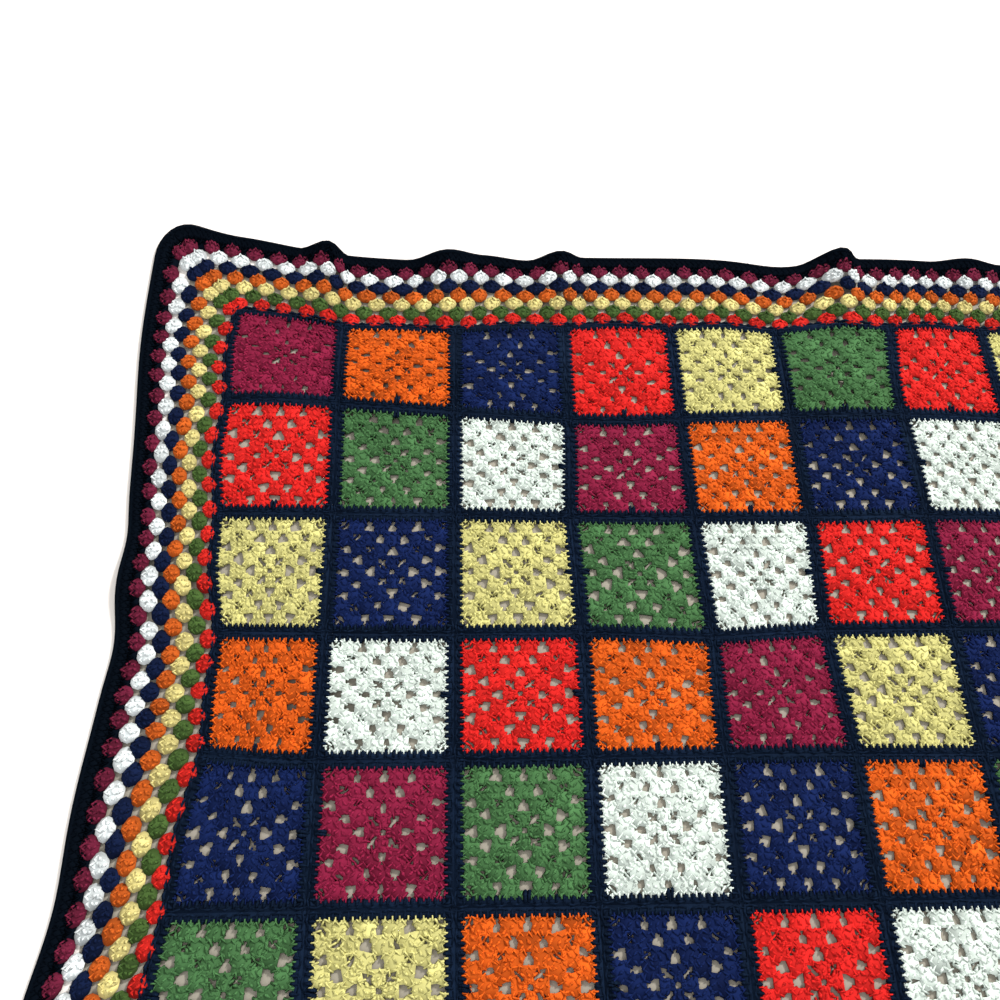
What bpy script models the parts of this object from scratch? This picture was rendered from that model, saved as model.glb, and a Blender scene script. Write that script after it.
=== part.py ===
"""A crocheted granny square blanket lying flat: joined squares, a border of cluster rounds and a dark edging.

Metres, +Z up. The cloth rests on z = 0, its long sides run along Y, and row 1 of the squares is at +Y.
Every point of the cloth has flat coordinates (u, v), where it would be if the blanket were pulled out true.
lie(u, v) gives where that point really rests: drawn a little out of square, and lifted where the border ruffles.
"""

import bmesh
import bpy
import numpy as np

# ---- driving dimensions ----

SQUARE = 0.113  # one granny square with its share of the joins, side to side
COLUMNS = 8
ROWS = 10
ROUND = 0.011  # width of one round of clusters
CLUSTER_ROUNDS = 7
EDGING = 0.015  # width of the dark band outside the clusters
SHEET = 0.004  # thickness of the crocheted squares and clusters
EDGING_SHEET = 0.005  # the dense edging is a little thicker
GAP = 0.0003  # between neighbouring solids

CORNER_SHARE = 0.42  # a round's corner radius, as a share of its distance from the field
CORNER_STEPS = 5  # flat facets round each corner
BORDER_STRIPS = 3  # strips of facets across the cluster border
FIELD_CELLS = 2  # facets across one square
RUFFLE_STATIONS = (-1.0, -0.66, -0.33, 0.0, 0.33, 0.66, 1.0)  # in half widths from a ruffle's crest
LEAST_STEP = 0.006  # stations nearer than this along a side are one station

RUFFLE_INSET = 0.040  # how far a ruffle's foot runs into the squares
RUFFLE_GROWTH = 1.6  # power by which a ruffle grows towards the outer edge
BOW = 0.004  # how far the outer squares bow out between their joins
BOW_REACH = 0.040  # how far into the field that bow is felt

# Where the field is drawn out of square. Places are counted in squares from its top left corner,
# moves are in metres, and reaches are in squares.
PULLS = [
    # column, row, right, up, reach_across, reach_down
    (0.0, 3.5, 0.022, 0.000, 0.5, 1.3),
    (0.0, 0.0, 0.000, 0.009, 0.4, 0.5),
    (0.4, 0.9, 0.000, 0.013, 0.9, 0.6),
    (1.6, 0.0, 0.000, -0.013, 1.0, 0.5),
    (3.3, 0.9, 0.000, -0.008, 0.9, 0.9),
    (4.0, 3.0, 0.004, -0.006, 0.6, 0.6),
    (5.0, 3.0, -0.005, 0.000, 0.5, 0.6),
    (6.2, 0.5, 0.000, 0.005, 0.8, 2.5),
    (6.0, 0.0, 0.013, 0.000, 0.5, 0.5),
    (8.0, 2.4, -0.012, 0.000, 0.7, 1.2),
    (8.0, 6.8, 0.009, 0.000, 0.7, 1.5),
    (2.0, 7.0, 0.006, 0.005, 1.2, 1.2),
    (0.0, 8.0, -0.008, 0.000, 0.6, 1.0),
    (2.4, 10.0, 0.000, 0.010, 1.2, 0.7),
    (6.3, 10.0, 0.000, -0.009, 1.1, 0.7),
    (5.0, 0.0, 0.000, -0.004, 0.5, 0.4),
    (1.0, 0.5, -0.003, 0.000, 0.5, 0.9),
    (6.0, 1.6, 0.004, 0.000, 0.5, 1.0),
    (3.0, 2.0, -0.004, 0.000, 0.5, 0.5),
    (1.5, 3.0, 0.000, -0.004, 1.9, 0.5),
    (0.0, 4.0, 0.000, 0.006, 0.5, 0.4),
    (4.4, 4.0, 0.002, 0.003, 1.4, 0.5),
]

# Standing folds in the border, where its loose outer rounds have more length than room.
# along is measured from the middle of the side, towards +X or +Y; lean tips the crest that way.
RUFFLES = [
    # side, along, height, half_width, lean
    ("top", -0.366, 0.019, 0.034, 0.35),
    ("top", -0.236, 0.016, 0.044, -0.05),
    ("top", -0.115, 0.012, 0.032, 0.25),
    ("top", 0.182, 0.022, 0.038, 0.32),
    ("top", 0.345, 0.009, 0.044, 0.00),
    ("left", 0.275, 0.005, 0.050, 0.00),
    ("left", -0.130, 0.014, 0.040, -0.20),
    ("left", -0.395, 0.010, 0.045, 0.15),
    ("right", 0.330, 0.012, 0.042, 0.20),
    ("right", 0.020, 0.017, 0.038, -0.30),
    ("right", -0.300, 0.010, 0.046, 0.00),
    ("bottom", -0.290, 0.013, 0.042, -0.20),
    ("bottom", 0.010, 0.009, 0.048, 0.10),
    ("bottom", 0.250, 0.019, 0.038, 0.30),
]

# Where the outer rounds are drawn out or in, beyond the field's own edge.
RIM = [
    # side, along, half_width, outwards
    ("top", -0.545, 0.065, 0.028),
    ("top", -0.200, 0.030, 0.006),
    ("top", -0.150, 0.022, -0.004),
    ("top", 0.128, 0.034, -0.007),
    ("left", 0.370, 0.115, -0.013),
    ("left", 0.310, 0.035, -0.004),
    ("left", 0.215, 0.035, -0.005),
    ("left", 0.000, 0.060, -0.010),
]

# Low swells in the squares, where the cloth doesn't lie quite down. Places and reach are in squares.
SWELLS = [
    # column, row, height, reach
    (1.5, 0.8, 0.0030, 0.9),
    (5.5, 0.7, 0.0035, 1.0),
    (0.9, 3.6, 0.0030, 0.9),
    (6.6, 4.4, 0.0030, 1.1),
    (3.0, 7.4, 0.0035, 1.1),
    (6.9, 8.6, 0.0030, 1.0),
]

WIDTH = COLUMNS * SQUARE
LENGTH = ROWS * SQUARE
BORDER = CLUSTER_ROUNDS * ROUND
REACH = BORDER + EDGING


# ---- how the cloth lies ----


def soft_hump(x):
    """A smooth hump: 1 in the middle, falling to 0 at x = -1 and x = 1."""
    return np.where(np.abs(x) < 1, np.cos(np.pi * np.clip(x, -1, 1) / 2) ** 2, 0.0)


def pulls_at(u, v):
    """How far the cloth at (u, v) is drawn along X and Y. The border moves with the field's edge beside it."""
    edge_u = np.clip(u, -WIDTH / 2, WIDTH / 2)
    edge_v = np.clip(v, -LENGTH / 2, LENGTH / 2)
    right, up = np.zeros_like(u), np.zeros_like(v)
    for column, row, pull_right, pull_up, across, down in PULLS:
        du = (edge_u + WIDTH / 2) / SQUARE - column
        dv = (LENGTH / 2 - edge_v) / SQUARE - row
        share = np.exp(-((du / across) ** 2) - (dv / down) ** 2)
        right += pull_right * share
        up += pull_up * share
    return right, up


def bow_at(along, out, side_length):
    """How far the cloth bows outwards: most at the middle of each outer square, and less away from its edge."""
    wave = 0.5 - 0.5 * np.cos(2 * np.pi * (along + side_length / 2) / SQUARE)
    inside = np.exp(-((np.minimum(out, 0) / BOW_REACH) ** 2))
    outside = 1 - np.clip(out / REACH, 0, 1)
    on_side = np.abs(along) < side_length / 2
    return np.where(on_side, BOW * wave * inside * outside, 0.0)


def rim_at(along, out, crest, half_width, outwards):
    """How far a stretch of the border is drawn outwards: a bell shape along the side, growing to the outer edge."""
    return outwards * np.exp(-(((along - crest) / half_width) ** 2)) * np.clip(out / REACH, 0, 1)


def ruffle_at(along, out, crest, height, half_width, lean):
    """(shift along the side, lift) of one ruffle. It draws the cloth beside it in by the length that its flanks take."""
    grown = np.clip((out + RUFFLE_INSET) / (REACH + RUFFLE_INSET), 0, 1) ** RUFFLE_GROWTH
    x = (along - crest) / half_width
    lift = height * grown * soft_hump(x)
    drawn = (np.pi * height) ** 2 / (16 * half_width)
    shift = -drawn * grown**2 * x * np.exp((1 - x**2) / 2) + lean * lift
    return shift, lift


def lie(u, v):
    """The resting place (x, y, z) of the underside of the cloth at flat coordinates (u, v)."""
    u, v = np.asarray(u, float), np.asarray(v, float)
    right, up = pulls_at(u, v)
    x, y, z = u + right, v + up, np.zeros_like(u)
    sides = {
        "top": (u, v - LENGTH / 2, WIDTH),
        "bottom": (u, -v - LENGTH / 2, WIDTH),
        "left": (v, -u - WIDTH / 2, LENGTH),
        "right": (v, u - WIDTH / 2, LENGTH),
    }
    y = y + bow_at(*sides["top"]) - bow_at(*sides["bottom"])
    x = x + bow_at(*sides["right"]) - bow_at(*sides["left"])
    for side, crest, half_width, outwards in RIM:
        along, out, _ = sides[side]
        moved = rim_at(along, out, crest, half_width, outwards)
        x = x + moved * {"left": -1, "right": 1}.get(side, 0)
        y = y + moved * {"bottom": -1, "top": 1}.get(side, 0)
    for side, crest, height, half_width, lean in RUFFLES:
        along, out, _ = sides[side]
        shift, lift = ruffle_at(along, out, crest, height, half_width, lean)
        z = z + lift
        if side in ("top", "bottom"):
            x = x + shift
        else:
            y = y + shift
    for column, row, height, reach in SWELLS:
        du = (u + WIDTH / 2) / SQUARE - column
        dv = (LENGTH / 2 - v) / SQUARE - row
        z = z + height * soft_hump(np.hypot(du, dv) / reach)
    return np.stack([x, y, z], axis=-1)


# ---- stations round the blanket ----


def side_stations(side, length):
    """Places along one side, in order: at every cell of the field, and closer where a ruffle stands."""
    coarse = np.linspace(-length / 2, length / 2, round(length / SQUARE) * FIELD_CELLS + 1)
    fine = [
        crest + step * half_width
        for name, crest, _, half_width, _ in RUFFLES
        if name == side
        for step in RUFFLE_STATIONS
    ]
    apart = [place for place in fine if np.abs(coarse - place).min() > LEAST_STEP]
    return np.sort(np.concatenate([coarse, apart]))


def ring_row(out):
    """Flat coordinates of one closed row of points at the distance out from the field, clockwise from the top left.
    A side's stations stay abreast of the field, and an arc of CORNER_STEPS facets turns each corner."""
    radius = CORNER_SHARE * out
    top, right = side_stations("top", WIDTH), side_stations("right", LENGTH)
    bottom, left = side_stations("bottom", WIDTH), side_stations("left", LENGTH)
    turn = np.linspace(0, np.pi / 2, CORNER_STEPS + 1)
    half_u, half_v = WIDTH / 2 + out, LENGTH / 2 + out

    def corner(sign_u, sign_v, start):
        """The arc between two sides, with its centre inside the corner."""
        angle = start - turn
        return np.stack(
            [
                sign_u * (half_u - radius) + radius * np.cos(angle),
                sign_v * (half_v - radius) + radius * np.sin(angle),
            ],
            axis=-1,
        )

    def line(u, v):
        return np.stack(np.broadcast_arrays(u, v), axis=-1)

    return np.concatenate(
        [
            line(top, half_v),
            corner(1, 1, np.pi / 2),
            line(half_u, right[::-1]),
            corner(1, -1, 0.0),
            line(bottom[::-1], -half_v),
            corner(-1, -1, -np.pi / 2),
            line(-half_u, left),
            corner(-1, 1, -np.pi),
        ]
    )


def ring_points(out):
    """A closed row of resting places at the distance out from the field."""
    row = ring_row(out)
    return lie(row[:, 0], row[:, 1])


def field_edge_points():
    """The ring's innermost row. It follows the straight facets of the field's edge, so that the two stay apart."""
    half_u, half_v = WIDTH / 2, LENGTH / 2
    row = ring_row(0.0)
    cell = SQUARE / FIELD_CELLS
    grown = 1 + GAP / 2 / np.array([half_u, half_v])

    def rest(points):
        points = points * grown
        return lie(points[:, 0], points[:, 1])

    on_long_side = np.abs(np.abs(row[:, 0]) - half_u) < np.abs(np.abs(row[:, 1]) - half_v)
    axis = np.where(on_long_side, 1, 0)
    pick = np.arange(len(row))
    along = row[pick, axis]
    start = np.where(axis == 1, -half_v, -half_u)
    steps = (along - start) / cell
    low = np.floor(steps + 1e-9)
    below, above = row.copy(), row.copy()
    below[pick, axis] = start + low * cell
    above[pick, axis] = np.minimum(start + (low + 1) * cell, -start)
    share = (steps - low)[:, None]
    return rest(below) * (1 - share) + rest(above) * share


# ---- solids ----


def material(name, colour, roughness):
    made = bpy.data.materials.new(name)
    made.use_nodes = True
    shader = made.node_tree.nodes["Principled BSDF"]
    shader.inputs["Base Color"].default_value = (*colour, 1.0)
    shader.inputs["Roughness"].default_value = roughness
    shader.inputs["Metallic"].default_value = 0.0
    return made


def cloth_solid(name, rows, closed, thickness, finish):
    """A sheet laid over rows of points, raised straight up by its thickness. Closed rows run round a ring."""
    mesh = bmesh.new()
    grid = [[mesh.verts.new(point) for point in row] for row in rows]
    for lower, upper in zip(grid, grid[1:]):
        count = len(lower) if closed else len(lower) - 1
        for i in range(count):
            j = (i + 1) % len(lower)
            mesh.faces.new((lower[i], lower[j], upper[j], upper[i]))
    bmesh.ops.remove_doubles(mesh, verts=mesh.verts[:], dist=1e-6)
    raised = bmesh.ops.extrude_face_region(mesh, geom=mesh.faces[:], use_keep_orig=True)
    top = [item for item in raised["geom"] if isinstance(item, bmesh.types.BMVert)]
    bmesh.ops.translate(mesh, verts=top, vec=(0, 0, thickness))
    bmesh.ops.recalc_face_normals(mesh, faces=mesh.faces[:])
    data = bpy.data.meshes.new(name)
    mesh.to_mesh(data)
    mesh.free()
    data.materials.append(finish)
    made = bpy.data.objects.new(name, data)
    bpy.context.scene.collection.objects.link(made)
    return made


def squares_panel(centre):
    """The joined granny squares: one thin sheet, faceted in half squares."""
    u = np.linspace(-WIDTH / 2, WIDTH / 2, COLUMNS * FIELD_CELLS + 1)
    v = np.linspace(-LENGTH / 2, LENGTH / 2, ROWS * FIELD_CELLS + 1)
    shrink_u, shrink_v = 1 - GAP / WIDTH, 1 - GAP / LENGTH
    rows = [lie(u * shrink_u, np.full_like(u, place * shrink_v)) - centre for place in v]
    finish = material("square_yarn", (0.62, 0.10, 0.06), 0.9)
    return cloth_solid("squares_panel", rows, False, SHEET, finish)


def cluster_border(centre):
    """The seven rounds of clusters, as one ruffled ring round the field."""
    steps = np.linspace(0, BORDER, BORDER_STRIPS + 1)[1:]
    steps[-1] -= GAP / 2
    rows = [field_edge_points() - centre] + [ring_points(out) - centre for out in steps]
    finish = material("cluster_yarn", (0.82, 0.70, 0.30), 0.9)
    return cloth_solid("cluster_border", rows, True, SHEET, finish)


def dark_edging(centre):
    """The dense outer band, which follows the border's ruffles."""
    rows = [ring_points(BORDER + GAP / 2) - centre, ring_points(REACH) - centre]
    finish = material("edging_yarn", (0.004, 0.007, 0.018), 0.95)
    return cloth_solid("dark_edging", rows, True, EDGING_SHEET, finish)


def outline_centre():
    """The middle of the outer edge's box at floor level, which becomes the part's origin."""
    edge = ring_points(REACH)
    middle = (edge.min(axis=0) + edge.max(axis=0)) / 2
    return np.array([middle[0], middle[1], 0.0])


for old in list(bpy.data.objects):
    bpy.data.objects.remove(old)

origin = outline_centre()
squares_panel(origin)
cluster_border(origin)
dark_edging(origin)
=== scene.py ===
# %% [markdown]
# # A granny square blanket, stitch by stitch
#
# The blanket is crocheted from eight yarns. Eighty small squares are each worked from the middle
# outwards, edged with a dark round and joined. Seven rounds of little clusters and a dense dark edging
# go round them all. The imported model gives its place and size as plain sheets. This lesson lays the real
# stitches over them: every strand of yarn is a tube, and all the tubes of one colour are one mesh.

import bpy
import numpy as np
from mathutils import Euler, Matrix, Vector


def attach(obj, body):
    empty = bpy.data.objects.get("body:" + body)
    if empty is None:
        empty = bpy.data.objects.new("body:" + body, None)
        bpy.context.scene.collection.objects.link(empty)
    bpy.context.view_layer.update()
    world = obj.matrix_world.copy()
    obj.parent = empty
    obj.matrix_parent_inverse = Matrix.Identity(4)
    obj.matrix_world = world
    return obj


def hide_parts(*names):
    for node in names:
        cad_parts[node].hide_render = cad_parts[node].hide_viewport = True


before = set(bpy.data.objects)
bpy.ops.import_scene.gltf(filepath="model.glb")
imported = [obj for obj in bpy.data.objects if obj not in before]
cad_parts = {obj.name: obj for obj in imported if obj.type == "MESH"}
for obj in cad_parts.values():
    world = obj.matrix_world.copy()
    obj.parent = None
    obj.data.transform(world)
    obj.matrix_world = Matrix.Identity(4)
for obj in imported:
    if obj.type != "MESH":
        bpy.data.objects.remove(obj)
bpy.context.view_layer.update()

# %% [markdown]
# ## The driving sizes
#
# A maker thinks in squares and rounds, so these few sizes drive everything. They are the model's own, and
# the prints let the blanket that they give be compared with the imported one. They could be read off the
# boxes alone, but a box doesn't say how many squares it holds.

# %% Sizes
SQUARE = 0.113  # one granny square with its share of the joins
COLUMNS, ROWS = 8, 10
ROUND = 0.011  # width of one round of clusters in the border
CLUSTER_ROUNDS = 7
EDGING = 0.015  # width of the dark edging
WIDTH, LENGTH = COLUMNS * SQUARE, ROWS * SQUARE  # of the field of joined squares
BORDER = CLUSTER_ROUNDS * ROUND
REACH = BORDER + EDGING  # from the field to the outer edge
CORNER_SHARE = 0.42  # a round's corner radius, as a share of its distance from the field
CORNER_LEAN = 0.6  # how far the stitches at a corner turn to its diagonal
LEAN_REACH = 0.015  # and how far along the round that is felt
MM = 0.001
rng = np.random.default_rng(11)
print(f"flat size {WIDTH + 2 * REACH:.3f} x {LENGTH + 2 * REACH:.3f} m")

# %% [markdown]
# ## How the cloth lies
#
# A blanket that is spread by hand never lies true. Its squares are drawn out of line, its outer squares
# bow, and its border has more length than room, so it stands up in soft folds. Cloth simulation could
# make folds, but not these ones, so each pull and fold is listed in a short table, as in the
# solids. Everything after this works in flat coordinates (u, v) with a height w over the underside,
# and one function carries it to where it rests.

# %% Pulls, ruffles and swells
# column, row (squares from the top left corner), right, up (metres), reach across, reach down (squares)
PULLS = [
    (0.0, 3.5, 0.022, 0.000, 0.5, 1.3),
    (0.0, 0.0, 0.000, 0.009, 0.4, 0.5),
    (0.4, 0.9, 0.000, 0.013, 0.9, 0.6),
    (1.6, 0.0, 0.000, -0.013, 1.0, 0.5),
    (3.3, 0.9, 0.000, -0.008, 0.9, 0.9),
    (4.0, 3.0, 0.004, -0.006, 0.6, 0.6),
    (5.0, 3.0, -0.005, 0.000, 0.5, 0.6),
    (6.2, 0.5, 0.000, 0.005, 0.8, 2.5),
    (6.0, 0.0, 0.013, 0.000, 0.5, 0.5),
    (8.0, 2.4, -0.012, 0.000, 0.7, 1.2),
    (8.0, 6.8, 0.009, 0.000, 0.7, 1.5),
    (2.0, 7.0, 0.006, 0.005, 1.2, 1.2),
    (0.0, 8.0, -0.008, 0.000, 0.6, 1.0),
    (2.4, 10.0, 0.000, 0.010, 1.2, 0.7),
    (6.3, 10.0, 0.000, -0.009, 1.1, 0.7),
    (5.0, 0.0, 0.000, -0.004, 0.5, 0.4),
    (1.0, 0.5, -0.003, 0.000, 0.5, 0.9),
    (6.0, 1.6, 0.004, 0.000, 0.5, 1.0),
    (3.0, 2.0, -0.004, 0.000, 0.5, 0.5),
    (1.5, 3.0, 0.000, -0.004, 1.9, 0.5),
    (0.0, 4.0, 0.000, 0.006, 0.5, 0.4),
    (4.4, 4.0, 0.002, 0.003, 1.4, 0.5),
]
# side, along (metres from its middle), height, half width, lean
RUFFLES = [
    ("top", -0.366, 0.019, 0.034, 0.35),
    ("top", -0.236, 0.016, 0.044, -0.05),
    ("top", -0.115, 0.012, 0.032, 0.25),
    ("top", 0.182, 0.022, 0.038, 0.32),
    ("top", 0.345, 0.009, 0.044, 0.00),
    ("left", 0.275, 0.005, 0.050, 0.00),
    ("left", -0.130, 0.014, 0.040, -0.20),
    ("left", -0.395, 0.010, 0.045, 0.15),
    ("right", 0.330, 0.012, 0.042, 0.20),
    ("right", 0.020, 0.017, 0.038, -0.30),
    ("right", -0.300, 0.010, 0.046, 0.00),
    ("bottom", -0.290, 0.013, 0.042, -0.20),
    ("bottom", 0.010, 0.009, 0.048, 0.10),
    ("bottom", 0.250, 0.019, 0.038, 0.30),
]
# side, along (metres from its middle), half width, outwards
RIM = [
    ("top", -0.545, 0.065, 0.028),
    ("top", -0.200, 0.030, 0.006),
    ("top", -0.150, 0.022, -0.004),
    ("top", 0.128, 0.034, -0.007),
    ("left", 0.370, 0.115, -0.013),
    ("left", 0.310, 0.035, -0.004),
    ("left", 0.215, 0.035, -0.005),
    ("left", 0.000, 0.060, -0.010),
]
# column, row, height (metres), reach (squares)
SWELLS = [
    (1.5, 0.8, 0.0030, 0.9),
    (5.5, 0.7, 0.0035, 1.0),
    (0.9, 3.6, 0.0030, 0.9),
    (6.6, 4.4, 0.0030, 1.1),
    (3.0, 7.4, 0.0035, 1.1),
    (6.9, 8.6, 0.0030, 1.0),
]
RUFFLE_INSET = 0.040  # how far a ruffle's foot runs into the squares
RUFFLE_GROWTH = 1.6  # power by which it grows towards the outer edge
BOW, BOW_REACH = 0.004, 0.040  # how far an outer square bows, and how far in that is felt
print(len(PULLS), "pulls,", len(RUFFLES), "ruffles,", len(SWELLS), "swells")

# %% From flat coordinates to the resting cloth


def soft_hump(x):
    """Half a cosine wave, squared: 1 in the middle, falling to 0 at x = -1 and 1."""
    return np.where(np.abs(x) < 1, np.cos(np.pi * np.clip(x, -1, 1) / 2) ** 2, 0.0)


def in_squares(u, v):
    """Flat coordinates as columns and rows of squares from the field's top left corner."""
    return (u + WIDTH / 2) / SQUARE, (LENGTH / 2 - v) / SQUARE


def bow_at(along, out, side_length):
    """Outward bow: one wave for each square, strongest at the field's edge, fading both ways from it."""
    wave = 0.5 - 0.5 * np.cos(2 * np.pi * (along + side_length / 2) / SQUARE)
    fade = np.exp(-((np.minimum(out, 0) / BOW_REACH) ** 2)) * (1 - np.clip(out / REACH, 0, 1))
    return np.where(np.abs(along) < side_length / 2, BOW * wave * fade, 0.0)


def lie(u, v):
    """The underside's resting place: each pull is a bell-shaped push, each stretch of the rim is drawn
    in or out, each ruffle is a hump that grows outwards and draws its neighbours in, and each swell is
    a low round hump."""
    column, row = in_squares(np.clip(u, -WIDTH / 2, WIDTH / 2), np.clip(v, -LENGTH / 2, LENGTH / 2))
    x, y, z = u.copy(), v.copy(), np.zeros_like(u)
    for at_column, at_row, right, up, across, down in PULLS:
        share = np.exp(-(((column - at_column) / across) ** 2) - ((row - at_row) / down) ** 2)
        x += right * share
        y += up * share
    sides = {
        "top": (u, v - LENGTH / 2, WIDTH),
        "bottom": (u, -v - LENGTH / 2, WIDTH),
        "left": (v, -u - WIDTH / 2, LENGTH),
        "right": (v, u - WIDTH / 2, LENGTH),
    }
    y += bow_at(*sides["top"]) - bow_at(*sides["bottom"])
    x += bow_at(*sides["right"]) - bow_at(*sides["left"])
    for side, crest, half_width, outwards in RIM:
        along, out, _ = sides[side]
        moved = outwards * np.exp(-(((along - crest) / half_width) ** 2)) * np.clip(out / REACH, 0, 1)
        x += moved * {"left": -1, "right": 1}.get(side, 0)
        y += moved * {"bottom": -1, "top": 1}.get(side, 0)
    for side, crest, height, half_width, lean in RUFFLES:
        along, out, _ = sides[side]
        grown = np.clip((out + RUFFLE_INSET) / (REACH + RUFFLE_INSET), 0, 1) ** RUFFLE_GROWTH
        off = (along - crest) / half_width
        lift = height * grown * soft_hump(off)
        drawn = (np.pi * height) ** 2 / (16 * half_width)
        shift = lean * lift - drawn * grown**2 * off * np.exp((1 - off**2) / 2)
        z += lift
        if side in ("top", "bottom"):
            x += shift
        else:
            y += shift
    column, row = in_squares(u, v)
    for at_column, at_row, height, reach in SWELLS:
        z += height * soft_hump(np.hypot(column - at_column, row - at_row) / reach)
    return np.stack([x, y, z], axis=-1)


def rest(points):
    """Flat (u, v, w) to the resting place: the underside's point, plus w along the cloth's own normal."""
    u, v, w = points[..., 0], points[..., 1], points[..., 2]
    step = 0.5 * MM
    here = lie(u, v)
    up = np.cross(lie(u + step, v) - here, lie(u, v + step) - here)
    up /= np.linalg.norm(up, axis=-1, keepdims=True)
    return here + up * w[..., None] - centre


# %% [markdown]
# ## Places along a round
#
# The outermost dark row, the border and the edging all go round the same field, each a little further
# out. A round has four straight sides, and corners that grow rounder outwards. It could be an offset
# curve with stitches spread along it, but a maker counts the stitches of each side, so each side is
# worked out by itself. Every place comes with its way outwards, since a stitch points that way.

# %% Stitch places on one side, and all round


def side_places(half_along, half_across, radius, count, end_gap):
    """Places evenly spaced along one side, the end ones end_gap short of the middle of each corner's
    arc, with the way outwards at each. The side is straight, its ends are eighths of a circle, and the
    stitches nearest the corner lean towards its diagonal."""
    straight = half_along - radius
    reach = straight + radius * np.pi / 4
    at = np.linspace(-1, 1, count) * (reach - end_gap)
    turned = np.clip((np.abs(at) - straight) / max(radius, 1e-9), 0, None)
    sign = np.sign(at)
    along = np.where(turned > 0, sign * (straight + radius * np.sin(turned)), at)
    across = half_across - radius * (1 - np.cos(turned))
    felt = np.exp(-(((reach - np.abs(at)) / LEAN_REACH) ** 2))
    leant = turned + CORNER_LEAN * (np.pi / 4 - turned) * felt
    outward = np.stack([sign * np.sin(leant), np.cos(leant)], axis=-1)
    return np.stack([along, across], axis=-1), outward


def quarter_turned(points, turns):
    """Points turned clockwise by that many quarter turns: (x, y) becomes (y, -x) each time."""
    for _ in range(turns):
        points = np.stack([points[..., 1], -points[..., 0]], axis=-1)
    return points


def ring_places(out, long_count, short_count, end_gap=0.0):
    """The places and outward ways of one whole round, clockwise from the top left corner."""
    radius = CORNER_SHARE * out
    halves = (WIDTH / 2 + out, LENGTH / 2 + out)
    made = []
    for turns in range(4):
        half_along, half_across = halves if turns % 2 == 0 else halves[::-1]
        count = short_count if turns % 2 == 0 else long_count
        found = side_places(half_along, half_across, radius, count, end_gap)
        made.append([quarter_turned(part, turns) for part in found])
    return [np.concatenate(part) for part in zip(*made)]


# the outline at many places, to find the middle of the resting cloth
outline = ring_places(REACH, 700, 600)[0]
outline = lie(outline[:, 0], outline[:, 1])
centre = (outline.min(axis=0) + outline.max(axis=0)) / 2 * [1, 1, 0]
print("outline in mm:", np.round(np.ptp(outline, axis=0) / MM, 1))
print("middle in mm:", np.round(centre / MM, 2))

# %% [markdown]
# ## Camera, light and floor
#
# The blanket is seen from above its top left part, by a camera that leans back a little, so its rows
# grow narrower towards the top. One large soft light stands at the upper right, as a window would, and
# a pale world fills the shadows. The floor is pale too. It shows through every hole of the crochet, so
# under the blanket a darker beige is painted on it as the shade there: a lighter one would glare through
# the holes and hide their shape.

# %% Camera
CAMERA_LENS = 34.2  # mm, on a sensor 36 mm wide
CAMERA_PLACE = Vector((0.214, -0.620, 0.799))  # from the field's top left corner
CAMERA_TURN = Euler(np.radians([27.23, -3.35, -1.14]))

camera_data = bpy.data.cameras.new("camera")
camera_data.lens = CAMERA_LENS
camera_data.sensor_width = 36.0
camera = bpy.data.objects.new("camera", camera_data)
camera.location = Vector((-WIDTH / 2, LENGTH / 2, 0)) + CAMERA_PLACE - Vector(centre)
camera.rotation_euler = CAMERA_TURN
bpy.context.scene.collection.objects.link(camera)
bpy.context.scene.camera = camera
print("camera at", [round(x, 3) for x in camera.location])

# %% Light


def area_light(name, place, aim, size, power, colour):
    """A square lamp at a place, turned to face the point aimed at."""
    data = bpy.data.lights.new(name, "AREA")
    data.size, data.energy, data.color = size, power, colour
    lamp = bpy.data.objects.new(name, data)
    lamp.location = place
    lamp.rotation_euler = (Vector(aim) - Vector(place)).to_track_quat("-Z", "Y").to_euler()
    bpy.context.scene.collection.objects.link(lamp)
    print(f"{name}: {power:.0f} W, {size} m wide")


WARM, COOL = (1.0, 0.98, 0.95), (0.95, 0.97, 1.0)
area_light("window", (2.6, 3.1, 3.3), aim=(-0.1, 0.2, 0), size=0.85, power=350.0, colour=WARM)
area_light("fill", (-1.4, -1.2, 2.0), aim=(0, 0, 0), size=2.0, power=20.0, colour=COOL)
world = bpy.data.worlds.new("studio")
world.use_nodes = True
world.node_tree.nodes["Background"].inputs["Color"].default_value = (1.0, 0.99, 0.98, 1)
world.node_tree.nodes["Background"].inputs["Strength"].default_value = 0.88
bpy.context.scene.world = world
bpy.context.scene.view_settings.view_transform = "Standard"

# %% Two helpers for materials


def node(tree, kind, **settings):
    """A new node of a material, with its settings."""
    made = tree.nodes.new(kind)
    for key, value in settings.items():
        setattr(made, key, value)
    return made


def math(tree, operation, *terms):
    """A Math node's result, where each term is a number or another node's output."""
    made = node(tree, "ShaderNodeMath", operation=operation)
    for socket, term in zip(made.inputs, terms):
        if isinstance(term, (int, float)):
            socket.default_value = term
        else:
            tree.links.new(term, socket)
    return made.outputs[0]


# %% Floor
FLOOR_SIDE = 12.0
FLOOR_DROP = 0.2 * MM  # the floor lies a hair lower than the underside
SHADE_PATCH_HALF_WIDTH, SHADE_PATCH_HALF_LENGTH = 0.505, 0.62  # of the beige patch of painted shade under the blanket
# the floor is pale, and painted beige under the blanket as the shade seen through its holes
PALE, SHADE_BEIGE = (0.80, 0.76, 0.72, 1), (0.280, 0.256, 0.210, 1)

bpy.ops.mesh.primitive_plane_add(size=FLOOR_SIDE, location=(0, 0, -FLOOR_DROP))
floor = bpy.context.object
floor.name = "floor"
floor_paint = bpy.data.materials.new("pale_floor")
floor_paint.use_nodes = True
floor_tree = floor_paint.node_tree
floor_shader = floor_tree.nodes["Principled BSDF"]
floor_shader.inputs["Roughness"].default_value = 0.9
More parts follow.
